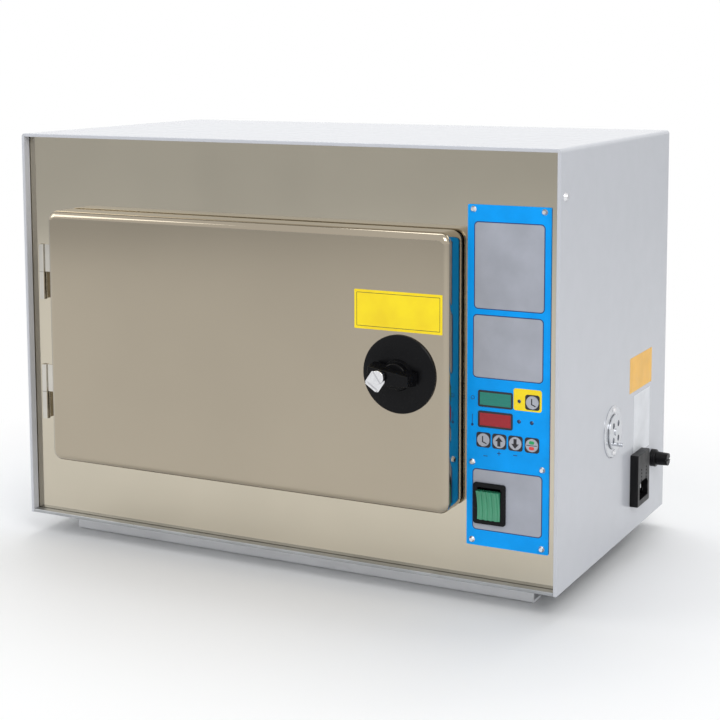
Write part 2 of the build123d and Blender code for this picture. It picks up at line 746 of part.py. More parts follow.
plateau_limits = (mouth_left + plateau_inset, mouth_right - plateau_inset,
                  mouth_low + plateau_inset, mouth_high - plateau_inset)
pan_back = door_back + inner_pan_sheet

with BuildPart() as door_space:
    with BuildSketch(front_plane(door_back - door_sheet)):
        door_outline(door_sheet)
    extrude(amount=door_depth - 2 * door_sheet)
    fillet(door_space.faces().sort_by(Axis.Y)[0].edges(), door_edge - door_sheet)

with BuildPart() as door_skin:
    with BuildSketch(front_plane(door_back)):
        door_outline(0)
    extrude(amount=door_depth)
    fillet(door_skin.faces().sort_by(Axis.Y)[0].edges(), door_edge)
    fillet(door_skin.faces().sort_by(Axis.Y)[-1].edges(), door_rim)
    add(door_space.part, mode=Mode.SUBTRACT)
    with BuildSketch(front_plane(door_back)):
        door_outline(door_return)
    extrude(amount=door_sheet, mode=Mode.SUBTRACT)
    rod((latch_x, door_front - 1, latch_z), TO_BACK, bush_radius, door_sheet + 2, Mode.SUBTRACT)
write(door_skin, "door_skin")

with BuildPart() as door_insulation:
    add(door_space.part)
    rod((latch_x, door_front, latch_z), TO_BACK, bush_radius, door_depth + 2, Mode.SUBTRACT)
write(door_insulation, "door_insulation")


def plateau(shrink, height):
    """Raised middle of the inner pan, with sloping sides, growing towards the chamber."""
    x0, x1, z0, z1 = plateau_limits
    with BuildPart() as hill:
        with BuildSketch(Plane(origin=(0, door_back, 0), x_dir=(-1, 0, 0), z_dir=(0, 1, 0))):
            bounds(-x1 + shrink, -x0 - shrink, z0 + shrink, z1 - shrink, chamber_corner)
        extrude(amount=height, taper=plateau_taper)
    return hill.part


with BuildPart() as door_inner_pan:
    with BuildSketch(front_plane(pan_back)):
        door_outline(inner_pan_inset)
    extrude(amount=inner_pan_sheet)
    add(plateau(0, plateau_rise + inner_pan_sheet))
    add(plateau(inner_pan_sheet, plateau_rise), mode=Mode.SUBTRACT)
    rod((latch_x, door_back - 1, latch_z), TO_BACK, bush_radius, plateau_rise + 4, Mode.SUBTRACT)
write(door_inner_pan, "door_inner_pan")

with BuildPart() as door_gasket:
    with BuildSketch(front_plane(panel_front - seal_gap)):
        door_outline(gasket_inset)
        door_outline(gasket_inset + gasket_width, Mode.SUBTRACT)
    extrude(amount=panel_front - seal_gap - pan_back)
    fillet(door_gasket.faces().sort_by(Axis.Y)[-1].edges(), 1)
write(door_gasket, "door_gasket")

# Latch: escutcheon and bush on the door; grip, spindle and tongue turn together
plateau_back = door_back + plateau_rise + inner_pan_sheet
bush_back = plateau_back + 1.5
tongue_front = panel_back + tongue_behind_mouth
boss_front = door_front - escutcheon_dome - boss_height
hub_back = boss_front - grip_lift
hub_front = hub_back - hub_height
grip_front = door_front - grip_proud

with BuildPart() as escutcheon:
    with BuildSketch(Plane(origin=(latch_x, door_front, latch_z), x_dir=(1, 0, 0), z_dir=(0, 0, 1))):
        with BuildLine():
            rim_top = -escutcheon_rim
            dome_top = -escutcheon_dome
            face = boss_front - door_front
            bore = spindle_radius + 0.6
            middle = (escutcheon_radius + boss_radius) / 2
            Polyline((bush_flange, 0), (escutcheon_radius, 0), (escutcheon_radius, rim_top + 0.6),
                     (escutcheon_radius - 0.6, rim_top))
            ThreePointArc((escutcheon_radius - 0.6, rim_top), (middle, (rim_top + dome_top) / 2 - 0.5),
                          (boss_radius, dome_top))
            Polyline((boss_radius, dome_top), (boss_radius - 1, face), (bore, face), (bore, -bush_flange / 4),
                     (bush_flange, -bush_flange / 4), (bush_flange, 0))
        make_face()
    revolve(axis=Axis((latch_x, door_front, latch_z), (0, 1, 0)))
write(escutcheon, "escutcheon")

with BuildPart() as spindle_bush:
    rod((latch_x, door_front - bush_flange / 4, latch_z), TO_BACK, bush_flange - 0.2, bush_flange / 4)
    rod((latch_x, door_front, latch_z), TO_BACK, bush_radius, bush_back - door_front)
    rod((latch_x, door_front - bush_flange, latch_z), TO_BACK, spindle_radius + pin_clearance,
        bush_back - door_front + 2 * bush_flange, Mode.SUBTRACT)
write(spindle_bush, "spindle_bush")

with BuildPart() as spindle:
    rod((latch_x, hub_front + 1, latch_z), TO_BACK, spindle_radius, tongue_front - hub_front - 1)
    block(latch_x - square_tenon / 2, latch_x + square_tenon / 2, hub_front + 1 - tenon_length, hub_front + 1,
          latch_z - square_tenon / 2, latch_z + square_tenon / 2)
    rod((latch_x, tongue_front, latch_z), TO_BACK, spindle_radius * 0.6, tongue_thick + nut_height + 1)
write(spindle, "spindle")

with BuildPart() as handle_grip:
    rod((latch_x, hub_back, latch_z), TO_FRONT, hub_radius, hub_height)
    fillet(handle_grip.faces().sort_by(Axis.Y)[0].edges(), 1)
    tilt = radians(grip_tilt)
    grip_run = (-cos(tilt), 0, sin(tilt))
    grip_plane = Plane(origin=(latch_x, grip_front, latch_z), x_dir=grip_run, z_dir=(0, 1, 0))
    with BuildSketch(grip_plane):
        with BuildLine():
            Polyline((grip_left, -grip_tall / 2), (grip_left, grip_tall / 2), (-grip_right, grip_slim / 2),
                     (-grip_right, -grip_slim / 2), close=True)
        make_face()
    extrude(amount=hub_back - grip_front, taper=-grip_flare)
    fillet(handle_grip.faces().sort_by(Axis.Y)[0].edges(), 0.8)
    block(latch_x - square_tenon / 2, latch_x + square_tenon / 2, hub_front + 1 - tenon_length, hub_front + 1,
          latch_z - square_tenon / 2, latch_z + square_tenon / 2, Mode.SUBTRACT)
    rod((latch_x, hub_front + 1, latch_z), TO_BACK, spindle_radius, hub_height, Mode.SUBTRACT)
    rod((latch_x + tab_screw_offset[0], grip_front - 1, latch_z + tab_screw_offset[1]), TO_BACK,
        fascia_shank_radius, fascia_shank_length + 2, Mode.SUBTRACT)
write(handle_grip, "handle_grip")

with BuildPart() as latch_tongue:
    with BuildSketch(front_plane(tongue_front + tongue_thick)):
        with Locations((latch_x, latch_z)):
            Circle(tongue_width * 0.7)
        bounds(latch_x - tongue_width / 2, latch_x + tongue_width / 2, latch_z - tongue_length, latch_z)
        with Locations((latch_x, latch_z)):
            Circle(spindle_radius * 0.6, mode=Mode.SUBTRACT)
    extrude(amount=tongue_thick)
    fillet(latch_tongue.edges().filter_by(Axis.Y).group_by(Axis.Z)[0], 3)
write(latch_tongue, "latch_tongue")

with BuildPart() as tongue_nut:
    with BuildSketch(front_plane(tongue_front + tongue_thick + nut_height)):
        with Locations((latch_x, latch_z)):
            RegularPolygon(nut_flats / 2, 6, major_radius=False)
            Circle(spindle_radius * 0.6, mode=Mode.SUBTRACT)
    extrude(amount=nut_height)
write(tongue_nut, "tongue_nut")

tab_plane = front_plane(grip_front)
with BuildPart() as index_tab:
    with BuildSketch(tab_plane):
        with Locations(Location((latch_x + tab_offset[0], latch_z + tab_offset[1], 0), (0, 0, tab_turn))):
            RectangleRounded(tab_length, tab_width, 1.5)
    extrude(amount=tab_sheet)
    with BuildSketch(tab_plane):
        with Locations(Location((latch_x + tab_offset[0], latch_z + tab_offset[1], 0), (0, 0, tab_turn))):
            with Locations((0, -(tab_width - tab_sheet) / 2)):
                Rectangle(tab_length - 3, tab_sheet)
    extrude(amount=tab_lip)
    with Locations((latch_x + tab_screw_offset[0], grip_front, latch_z + tab_screw_offset[1])):
        Cylinder(fascia_shank_radius, 3 * tab_sheet, rotation=TO_FRONT, mode=Mode.SUBTRACT)
write(index_tab, "index_tab")

with BuildPart() as tab_screw:
    screw_x = latch_x + tab_screw_offset[0]
    screw_z = latch_z + tab_screw_offset[1]
    seat = grip_front - tab_sheet
    rod((screw_x, seat, screw_z), TO_FRONT, screw_head_radius, screw_head_height)
    fillet(tab_screw.faces().sort_by(Axis.Y)[0].edges(), 0.5)
    with Locations(Location((screw_x, seat - screw_head_height, screw_z), (0, 55, 0))):
        Box(2 * screw_head_radius + 1, 2.4, 1.2, mode=Mode.SUBTRACT)
    rod((screw_x, seat, screw_z), TO_BACK, fascia_shank_radius, tab_sheet + fascia_shank_length)
write(tab_screw, "tab_screw")

# Control fascia, displays, lamps and keys
key_spots = {name: (column, key_row) for name, column in
             zip(("key_clock", "key_up", "key_down", "key_start"), key_columns)}
key_spots["key_select"] = select_key
display_spots = dict(zip(("temperature_display", "time_display"), display_rows))

with BuildPart() as control_fascia:
    with BuildSketch(front_plane(panel_front)):
        bounds(fascia_left, fascia_right, fascia_low, fascia_high, fascia_corner)
        for u, v in key_spots.values():
            with Locations((fascia_left + u, fascia_low + v)):
                Circle(key_radius + key_play, mode=Mode.SUBTRACT)
        for u, v in led_spots:
            with Locations((fascia_left + u, fascia_low + v)):
                Circle(led_radius, mode=Mode.SUBTRACT)
        for row in display_rows:
            with Locations((fascia_left + display_column, fascia_low + row)):
                Rectangle(*display_size, mode=Mode.SUBTRACT)
        with Locations((rocker_x, rocker_z)):
            Rectangle(*bezel_body, mode=Mode.SUBTRACT)
        with Locations(*fascia_screw_spots):
            Circle(fascia_shank_radius, mode=Mode.SUBTRACT)
    extrude(amount=fascia_sheet)
write(control_fascia, "control_fascia")

with BuildPart() as control_board:
    board_back = board_front + board_thick
    block(board_left, board_right, board_front, board_back, board_low, board_high)
    for u, v in key_spots.values():
        x, z = fascia_left + u, fascia_low + v
        half = switch_width / 2
        block(x - half, x + half, board_front - switch_height, board_front, z - half, z + half)
    edge = 2 * board_margin
    block(board_left + edge, board_left + edge + board_plug[0], board_back, board_back + board_plug[1],
          board_low + edge, board_low + edge + board_plug[2])
    block(board_right - edge - board_chip[0], board_right - edge, board_back, board_back + board_chip[1],
          board_high - edge - board_chip[2], board_high - edge)
write(control_board, "control_board")

for name, row in display_spots.items():
    with BuildPart() as display:
        x, z = fascia_left + display_column, fascia_low + row
        half_x, half_z = display_size[0] / 2, display_size[1] / 2
        block(x - half_x, x + half_x, fascia_front - display_proud, board_front, z - half_z, z + half_z)
        fillet(display.faces().sort_by(Axis.Y)[0].edges(), display_proud / 2)
    write(display, name)

with BuildPart() as indicator_lamps:
    for u, v in led_spots:
        place = (fascia_left + u, board_front, fascia_low + v)
        rod(place, TO_FRONT, led_radius, board_front - fascia_front)
        with Locations((fascia_left + u, fascia_front, fascia_low + v)):
            Cone(led_radius, led_radius * 0.5, 0.7, rotation=TO_FRONT, align=LOW)
write(indicator_lamps, "indicator_lamps")

for name, (u, v) in key_spots.items():
    with BuildPart() as key:
        x, z = fascia_left + u, fascia_low + v
        cap_front = fascia_front - key_proud
        collar_front = panel_front + key_play / 2
        stem_back = board_front - switch_height - key_travel - key_play
        rod((x, collar_front, z), TO_FRONT, key_radius, collar_front - cap_front)
        fillet(key.faces().sort_by(Axis.Y)[0].edges(), 0.4)
        rod((x, collar_front, z), TO_BACK, key_radius + key_collar, key_collar)
        rod((x, collar_front, z), TO_BACK, key_stem, stem_back - collar_front)
    write(key, name)

with BuildPart() as fascia_screws:
    for x, z in fascia_screw_spots:
        with Locations(Location((x, fascia_front, z), TO_FRONT)):
            Cone(fascia_head_radius, fascia_head_radius * 0.55, fascia_head_height, align=LOW)
        rod((x, fascia_front, z), TO_BACK, fascia_shank_radius, fascia_shank_length)
write(fascia_screws, "fascia_screws")

# Rocker switch
bezel_front = fascia_front - bezel_proud
trunnion_y = fascia_front + trunnion_behind
with BuildPart() as switch_body:
    with BuildSketch(front_plane(fascia_front)):
        with Locations((rocker_x, rocker_z)):
            RectangleRounded(*bezel_size, 2.5)
    extrude(amount=bezel_proud)
    fillet(switch_body.faces().sort_by(Axis.Y)[0].edges(), 0.8)
    with BuildSketch(front_plane(fascia_front + bezel_depth)):
        with Locations((rocker_x, rocker_z)):
            Rectangle(*bezel_body)
    extrude(amount=bezel_depth)
    with BuildSketch(front_plane(bezel_front + bezel_depth * 0.7)):
        with Locations((rocker_x, rocker_z)):
            Rectangle(*bezel_well)
    extrude(amount=bezel_depth, mode=Mode.SUBTRACT)
    rod((rocker_x - bezel_body[0] / 2, trunnion_y, rocker_z), TO_RIGHT, trunnion_radius + trunnion_clearance,
        bezel_body[0], Mode.SUBTRACT)
    for z in (-7, 7):
        block(rocker_x - 3, rocker_x + 3, fascia_front + bezel_depth, fascia_front + bezel_depth + 8,
              rocker_z + z - 0.4, rocker_z + z + 0.4)
write(switch_body, "switch_body")


def rocker_slice(x, width, crest):
    """Slice of the rocker across its pivot, with its crest this far ahead of the pivot."""
    throw = radians(rocker_throw)
    across = Plane(origin=(x, trunnion_y, rocker_z), x_dir=(0, cos(throw), sin(throw)), z_dir=(1, 0, 0))
    with BuildPart() as made:
        with BuildSketch(across):
            with BuildLine():
                ThreePointArc((-crest, -rocker_half), (rocker_dish - crest, 0), (-crest, rocker_half))
                Polyline((-crest, rocker_half), (1.0, rocker_half - 1.6), (4.0, rocker_half / 2),
                         (4.0, -rocker_half / 2), (1.0, 1.6 - rocker_half), (-crest, -rocker_half))
            make_face()
        extrude(amount=width)
    return made.part


with BuildPart() as rocker:
    crest = trunnion_behind + bezel_proud + rocker_proud
    rocker_left = rocker_x - rocker_width / 2
    rib_width = rocker_width / (2 * rocker_ribs + 1)
    add(rocker_slice(rocker_left, rocker_width, crest - rib_height))
    for i in range(rocker_ribs):
        add(rocker_slice(rocker_left + rib_width * (2 * i + 1), rib_width, crest))
    pivot_left = rocker_x - bezel_body[0] / 2 + key_play
    rod((pivot_left, trunnion_y, rocker_z), TO_RIGHT, trunnion_radius, bezel_body[0] - 2 * key_play)
write(rocker, "rocker")

# Right side: power inlet, fuse holder and vent
socket_y = inlet_y
socket_z = cab_floor + inlet_place[1] + socket_low + socket_size[1] / 2
inlet_face = cab_right + inlet_proud
with BuildPart() as power_inlet:
    with BuildSketch(side_plane(cab_right)):
        with Locations((inlet_y, inlet_z)):
            RectangleRounded(*inlet_size, 1.5)
    extrude(amount=inlet_proud)
    fillet(power_inlet.faces().sort_by(Axis.X)[-1].edges(), 0.8)
    with BuildSketch(side_plane(cab_right - inlet_depth)):
        with Locations((inlet_y, inlet_z)):
            Rectangle(*inlet_body)
    extrude(amount=inlet_depth)
    with BuildSketch(side_plane(inlet_face)):
        half_y, half_z, cut = socket_size[0] / 2, socket_size[1] / 2, 4.0
        with Locations((socket_y, socket_z)):
            Polygon((-half_y, -half_z), (half_y, -half_z), (half_y, half_z - cut), (half_y - cut, half_z),
                    (cut - half_y, half_z), (-half_y, half_z - cut))
    extrude(amount=-socket_depth, mode=Mode.SUBTRACT)
    with BuildSketch(side_plane(inlet_face)):
        with Locations((inlet_y, cab_floor + inlet_marks_rise)):
            with GridLocations(*inlet_marks_pitch, 2, 4):
                Circle(inlet_mark_radius)
    extrude(amount=-inlet_mark_depth, mode=Mode.SUBTRACT)
write(power_inlet, "power_inlet")

with BuildPart() as inlet_pins:
    root_x = inlet_face - socket_depth
    for y, z in ((-pin_spread, 0), (pin_spread, 0), (0, pin_rise)):
        high = socket_z + z
        block(root_x, inlet_face - pin_set_back, socket_y + y - pin_thick / 2, socket_y + y + pin_thick / 2,
              high - pin_tall, high)
write(inlet_pins, "inlet_pins")

with BuildPart() as fuse_holder:
    rod((cab_right, fuse_y, fuse_z), TO_RIGHT, fuse_flange_radius, fuse_flange_height)
    fillet(fuse_holder.faces().sort_by(Axis.X)[-1].edges(), 0.8)
    rod((cab_right, fuse_y, fuse_z), TO_LEFT, fuse_body_radius, fuse_body_length)
    well = (cab_right + fuse_flange_height - 2, fuse_y, fuse_z)
    rod(well, TO_RIGHT, fuse_body_radius - 1, 3, Mode.SUBTRACT)
write(fuse_holder, "fuse_holder")

with BuildPart() as fuse_cap:
    cap_root = cab_right + fuse_flange_height - 2 + seal_gap
    spigot = fuse_body_radius - 1 - pin_clearance
    rod((cap_root, fuse_y, fuse_z), TO_RIGHT, spigot, 4)
    cap_base = cab_right + fuse_flange_height + seal_gap
    with Locations(Location((cap_base, fuse_y, fuse_z), TO_RIGHT)):
        Cone(fuse_cap_radius, fuse_cap_radius - 0.5, fuse_cap_length - seal_gap, align=LOW)
    with Locations((cab_right + side_proud, fuse_y, fuse_z)):
        Box(2.4, 2 * fuse_cap_radius, 1.4, mode=Mode.SUBTRACT)
write(fuse_cap, "fuse_cap")

vent_face = cab_right + vent_flange_sheet
with BuildPart() as vent_flange:
    with BuildSketch(side_plane(cab_right)):
        with Locations((vent_y, vent_z)):
            Circle(vent_flange_radius)
            with PolarLocations(vent_ring, vent_hole_count):
                Circle(vent_hole_radius, mode=Mode.SUBTRACT)
            with Locations((0, vent_screw_ring), (0, -vent_screw_ring)):
                Circle(fascia_shank_radius, mode=Mode.SUBTRACT)
            Circle(vent_pivot_radius, mode=Mode.SUBTRACT)
    extrude(amount=vent_flange_sheet)
    chamfer(vent_flange.faces().sort_by(Axis.X)[-1].edges().sort_by(SortBy.LENGTH)[-1], 0.8)
write(vent_flange, "vent_flange")

with BuildPart() as vent_tube:
    with BuildSketch(side_plane(mouth_right)):
        with Locations((vent_y, vent_z)):
            Circle(vent_tube_radius)
            Circle(vent_tube_radius - vent_tube_wall, mode=Mode.SUBTRACT)
    extrude(amount=cab_right - mouth_right)
write(vent_tube, "vent_tube")

with BuildPart() as vent_damper:
    disc_back = vent_face + seal_gap
    with BuildSketch(side_plane(disc_back)):
        with Locations((vent_y, vent_z)):
            Circle(vent_disc_radius)
            with PolarLocations(vent_ring, vent_hole_count, start_angle=180 / vent_hole_count):
                Circle(vent_hole_radius, mode=Mode.SUBTRACT)
    extrude(amount=vent_disc_sheet)
    chamfer(vent_damper.faces().sort_by(Axis.X)[-1].edges().sort_by(SortBy.LENGTH)[-1], 0.6)
    pin_place = (disc_back, vent_y, vent_z - 1.2 * vent_ring)
    rod(pin_place, TO_RIGHT, vent_pin_radius, vent_disc_sheet + vent_pin_length)
    rod((cab_right - 1, vent_y, vent_z), TO_RIGHT, vent_pivot_radius - pin_clearance, vent_flange_sheet + 2)
    rod((disc_back, vent_y, vent_z), TO_RIGHT, vent_pivot_radius + 0.6, vent_disc_sheet + 0.8)
write(vent_damper, "vent_damper")

with BuildPart() as vent_screws:
    for side in (-1, 1):
        place = (vent_face, vent_y, vent_z + side * vent_screw_ring)
        with Locations(Location(place, TO_RIGHT)):
            Cone(fascia_head_radius, fascia_head_radius * 0.6, fascia_head_height, align=LOW)
        rod(place, TO_LEFT, fascia_shank_radius, fascia_shank_length)
write(vent_screws, "vent_screws")

# Electrical parts in the bay behind the fascia
bay_floor = cab_floor + sheet
bay_left = bulkhead_left + panel_flange
with BuildPart() as transformer:
    wide, deep, tall = transformer_size
    x, y, end = bay_left + transformer_step, panel_back + transformer_clear, transformer_step
    block(x, x + wide, y + end, y + deep - end, bay_floor, bay_floor + tall)
    block(x + end, x + wide - end, y, y + deep, bay_floor + end, bay_floor + tall - end)
write(transformer, "transformer")

with BuildPart() as power_relay:
    wide, deep, tall = relay_size
    x, z = bulkhead_left + panel_sheet, probe_z - relay_drop
    y = probe_y - 2 * probe_radius - relay_clear - deep
    block(x, x + wide, y, y + deep, z, z + tall)
    first = y + (deep - (relay_pins - 1) * relay_pin_pitch - relay_pin[1]) / 2
    for i in range(relay_pins):
        start = first + i * relay_pin_pitch
        block(x + wide, x + wide + relay_pin[0], start, start + relay_pin[1],
              z + relay_pin[2], z + 2 * relay_pin[2])
write(power_relay, "power_relay")

with BuildPart() as terminal_block:
    wide, deep, tall = terminal_size
    x, y = bay_left + wide / 2, vent_y + terminal_behind_vent
    block(x, x + wide, y, y + deep, bay_floor, bay_floor + tall)
    with Locations((x + wide / 2, y + deep / 2, bay_floor + tall)):
        with GridLocations(1, deep / terminal_wells, 1, terminal_wells):
            Cylinder(terminal_well[0], 2 * terminal_well[1], mode=Mode.SUBTRACT)
write(terminal_block, "terminal_block")

with BuildPart() as safety_thermostat:
    x, y, z = bulkhead_left + panel_sheet, vent_y + stat_from_vent[0], vent_z + stat_from_vent[1]
    plate, half = stat_plate[0], stat_plate[1] / 2
    block(x, x + plate, y - half, y + half, z - half, z + half)
    rod((x + plate, y, z), TO_RIGHT, stat_radius, stat_height)
    rod((x + plate + stat_height, y, z), TO_RIGHT, *stat_button)
    with Locations((x + plate + stat_height + stat_blade[0] / 2, y, z)):
        for side in (-1, 1):
            with Locations((0, 0, side * blade_spread)):
                Box(*stat_blade)
write(safety_thermostat, "safety_thermostat")

with BuildPart() as case_screws:
    seats = [((x, cab_back + rear_sheet, z), TO_BACK) for x, z in rear_screws]
    seats.append(((cab_left, side_screw_y, side_screw_z), TO_LEFT))
    seats.append(((cab_right, side_screw_y, side_screw_z), TO_RIGHT))
    for y in rail_fronts.values():
        middle = y + rail_depth / 2
        seats += [((x, middle, rail_height - rail_wall), (180, 0, 0)) for x in rail_screw_columns]
    for place, facing in seats:
        with Locations(Location(place, facing)):
            Cone(case_head_radius, case_head_radius * 0.6, case_head_height, align=LOW)
            Cylinder(case_shank_radius, case_shank_length, align=HIGH)
write(case_screws, "case_screws")
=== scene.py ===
"""Studio scene of the bench-top hot air sterilizer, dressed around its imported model."""
import json
import math

import bmesh
import bpy
from mathutils import Matrix, Vector


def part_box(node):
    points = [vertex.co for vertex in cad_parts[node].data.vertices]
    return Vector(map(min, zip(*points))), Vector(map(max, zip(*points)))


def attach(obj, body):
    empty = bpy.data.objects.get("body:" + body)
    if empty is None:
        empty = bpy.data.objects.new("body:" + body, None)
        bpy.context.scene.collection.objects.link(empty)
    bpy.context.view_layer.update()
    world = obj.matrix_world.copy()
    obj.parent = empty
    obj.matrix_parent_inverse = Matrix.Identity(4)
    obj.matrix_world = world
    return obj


MM = 0.001

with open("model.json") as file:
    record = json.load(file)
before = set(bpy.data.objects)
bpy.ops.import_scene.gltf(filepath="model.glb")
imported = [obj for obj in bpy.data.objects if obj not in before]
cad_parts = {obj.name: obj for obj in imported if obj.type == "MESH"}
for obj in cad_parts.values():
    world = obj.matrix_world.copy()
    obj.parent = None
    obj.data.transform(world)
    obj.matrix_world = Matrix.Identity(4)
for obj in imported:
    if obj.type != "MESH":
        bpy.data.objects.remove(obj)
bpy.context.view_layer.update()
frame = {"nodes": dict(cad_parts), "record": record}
nodes = frame["nodes"]
cover_low, cover_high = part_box("outer_cover")
corner = Vector((cover_low.x, cover_low.y, cover_low.z))


def at(x, y, z):
    """A place given in millimetres from the cover's left, front and lower edges."""
    return corner + Vector((x, y, z)) * MM


def linear(red, green, blue):
    """Linear colour from the 0 to 255 values that a screen shows."""
    def channel(value):
        value /= 255
        return value / 12.92 if value <= 0.04045 else ((value + 0.055) / 1.055) ** 2.4
    return (channel(red), channel(green), channel(blue), 1.0)


# Camera, from the straight edges of the case in the photograph
LENS = 80.0
SHIFT_Y = -0.1846
CAMERA_PLACE = (942.10, -1155.22, 435.61)
CAMERA_TURN = 0.4757
CAMERA_DIP = 0.1151
CAMERA_ROLL = -0.0032

camera_data = bpy.data.cameras.new("camera")
camera_data.lens = LENS
camera_data.sensor_width = 36.0
camera_data.shift_y = SHIFT_Y
camera = bpy.data.objects.new("camera", camera_data)
bpy.context.scene.collection.objects.link(camera)
camera.matrix_world = (
    Matrix.Translation(at(*CAMERA_PLACE))
    @ Matrix.Rotation(CAMERA_TURN, 4, "Z")
    @ Matrix.Rotation(math.pi / 2 - CAMERA_DIP, 4, "X")
    @ Matrix.Rotation(CAMERA_ROLL, 4, "Z")
)
bpy.context.scene.camera = camera


# Materials
class Shader:
    """A node material with a Principled shader and a few short ways to drive it."""

    def __init__(self, name, **settings):
        self.material = bpy.data.materials.new(name)
        self.material.use_nodes = True
        self.tree = self.material.node_tree
        self.surface = self.tree.nodes["Principled BSDF"]
        for socket, value in settings.items():
            self.surface.inputs[socket.replace("_", " ")].default_value = value

    def node(self, kind, **inputs):
        made = self.tree.nodes.new(kind)
        for name, value in inputs.items():
            socket = made.inputs[name.replace("_", " ")]
            if isinstance(value, bpy.types.NodeSocket):
                self.tree.links.new(value, socket)
            else:
                socket.default_value = value
        return made

    def place(self, scale=(1, 1, 1)):
        """Model coordinates, stretched along each axis."""
        coordinates = self.node("ShaderNodeTexCoord").outputs["Object"]
        return self.node("ShaderNodeMapping", Vector=coordinates, Scale=scale).outputs["Vector"]

    def noise(self, size, stretch=(1, 1, 1), detail=3.0):
        """Noise with blotches of about this size in metres."""
        vector = self.place(stretch)
        return self.node("ShaderNodeTexNoise", Vector=vector, Scale=1 / size, Detail=detail).outputs["Fac"]

    def ramp(self, factor, low, high, start=0.3, end=0.7):
        """A number that goes from low to high as the factor goes from start to end."""
        made = self.tree.nodes.new("ShaderNodeMapRange")
        self.tree.links.new(factor, made.inputs["Value"])
        for name, value in zip(("From Min", "From Max", "To Min", "To Max"), (start, end, low, high)):
            made.inputs[name].default_value = value
        return made.outputs["Result"]

    def blend(self, factor, first, second):
        """Colour between two colours."""
        made = self.tree.nodes.new("ShaderNodeMix")
        made.data_type = "RGBA"
        self.tree.links.new(factor, made.inputs["Factor"])
        for socket, colour in ((made.inputs[6], first), (made.inputs[7], second)):
            if isinstance(colour, bpy.types.NodeSocket):
                self.tree.links.new(colour, socket)
            else:
                socket.default_value = colour
        return made.outputs[2]

    def drive(self, socket, value):
        self.tree.links.new(value, self.surface.inputs[socket])

    def bump(self, height, depth, strength=1.0):
        made = self.node("ShaderNodeBump", Height=height, Distance=depth, Strength=strength)
        self.drive("Normal", made.outputs["Normal"])


def shade(colour, factor):
    """The same colour, lighter or darker."""
    return (*(min(channel * factor, 1.0) for channel in colour[:3]), 1.0)


def steel(name, colour, rough=(0.05, 0.12), grain=(1, 1, 1), grain_depth=0.00001,
          cloud=0.06, cloud_size=0.18):
    """Rolled or polished metal: soft clouds of colour, uneven polish and a fine grain."""
    made = Shader(name, Metallic=1.0, Base_Color=colour)
    cloudy = made.ramp(made.noise(cloud_size), 0.0, 1.0)
    made.drive("Base Color", made.blend(cloudy, shade(colour, 1 - cloud), shade(colour, 1 + cloud)))
    made.drive("Roughness", made.ramp(made.noise(0.06, detail=6.0), *rough))
    made.bump(made.noise(0.0006, grain, 2.0), grain_depth, 0.25)
    return made.material


def paint(name, colour, rough=(0.35, 0.5)):
    """Sprayed paint: slight orange peel and handling marks."""
    made = Shader(name, Base_Color=colour)
    cloudy = made.ramp(made.noise(0.05), 0, 1)
    made.drive("Base Color", made.blend(cloudy, shade(colour, 0.94), shade(colour, 1.03)))
    made.drive("Roughness", made.ramp(made.noise(0.03), *rough))
    made.bump(made.noise(0.0012), 0.00003, 0.3)
    return made.material


def plastic(name, colour, rough=(0.28, 0.4), texture=0.0004, depth=0.00002, cloud=(0.92, 1.06), **settings):
    """Moulded plastic with a fine surface texture."""
    made = Shader(name, Base_Color=colour, **settings)
    cloudy = made.ramp(made.noise(0.02), 0, 1)
    made.drive("Base Color", made.blend(cloudy, shade(colour, cloud[0]), shade(colour, cloud[1])))
    made.drive("Roughness", made.ramp(made.noise(0.008), *rough))
    made.bump(made.noise(texture), depth, 0.3)
    return made.material


def wool(name, colour):
    """Matted mineral fibre."""
    made = Shader(name, Base_Color=colour, Roughness=0.95)
    fibre = made.noise(0.004, (1, 1, 4), 6.0)
    made.drive("Base Color", made.blend(fibre, shade(colour, 0.7), shade(colour, 1.1)))
    made.bump(made.noise(0.002, (1, 1, 5), 8.0), 0.0008, 0.8)
    return made.material


def glowing(name, colour, strength):
    """Dark window of a display with its colour lit from behind."""
    made = Shader(name, Base_Color=colour, Emission_Color=colour, Emission_Strength=strength)
    made.drive("Roughness", made.ramp(made.noise(0.01), 0.12, 0.2))
    made.drive("Base Color", made.blend(made.noise(0.003, (1, 1, 3)), shade(colour, 0.8), shade(colour, 1.1)))
    return made.material


MIRROR = linear(196, 188, 171)
AZURE = linear(0, 160, 250)
WINDOW_GREY = linear(165, 168, 178)
INK_BLUE = linear(8, 62, 120)
YELLOW = linear(255, 222, 0)
AMBER = linear(247, 190, 80)
BLACK = linear(14, 14, 16)
INK = linear(28, 28, 34)

